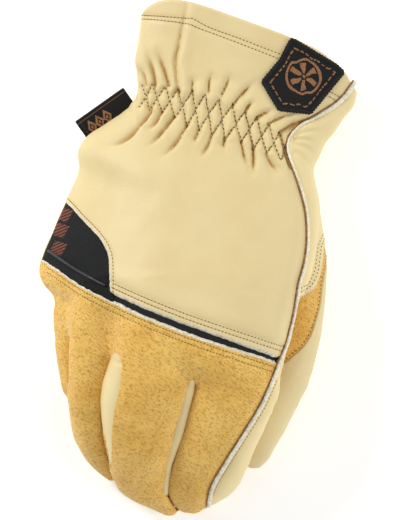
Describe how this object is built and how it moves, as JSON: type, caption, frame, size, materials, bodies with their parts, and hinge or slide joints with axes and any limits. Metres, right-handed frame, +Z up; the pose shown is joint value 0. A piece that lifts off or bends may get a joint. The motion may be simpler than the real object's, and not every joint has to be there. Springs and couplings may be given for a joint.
{
  "type": "leather driver glove",
  "caption": "Right-hand leather driver glove with tan split leather knuckles, a shirred wrist, a thumb saddle and a raw-edged outseam.",
  "frame": {"origin": "centre of the glove's bounding box, on the surface it lies on", "axes": "+Y from the fingertips to the cuff, +Z up out of the back of the hand, +X towards the thumb"},
  "size_m": [0.1508, 0.2482, 0.0617],
  "materials": {
    "back_leather": "smooth pale grain leather, dull sheen",
    "palm_leather": "smooth pale grain leather, dull sheen",
    "split_leather": "napped tan split leather, matt",
    "strip_leather": "smooth pale grain leather, dull sheen",
    "slot_fabric": "black woven fabric",
    "tape_fabric": "black ribbed woven tape with rust-coloured figures",
    "piping_fabric": "black corded piping",
    "raw_edge": "raw cut edges of grain leather, whitish, matt",
    "patch_fabric": "black woven patch with an overlocked border",
    "tab_fabric": "black satin-woven folded tab"
  },
  "bodies": {
    "root": {"back_panel": "back_leather", "palm_panel": "palm_leather", "knuckle_panel": "split_leather", "slot_strip": "slot_fabric", "side_tape": "tape_fabric", "tape_piping": "piping_fabric", "fourchette_index_middle": "strip_leather", "fourchette_middle_ring": "strip_leather", "fourchette_ring_little": "strip_leather", "thumb_stall": "palm_leather", "thumb_saddle": "split_leather", "side_welt": "raw_edge", "cuff_patch": "patch_fabric", "side_tab": "tab_fabric"}
  },
  "joints": []
}
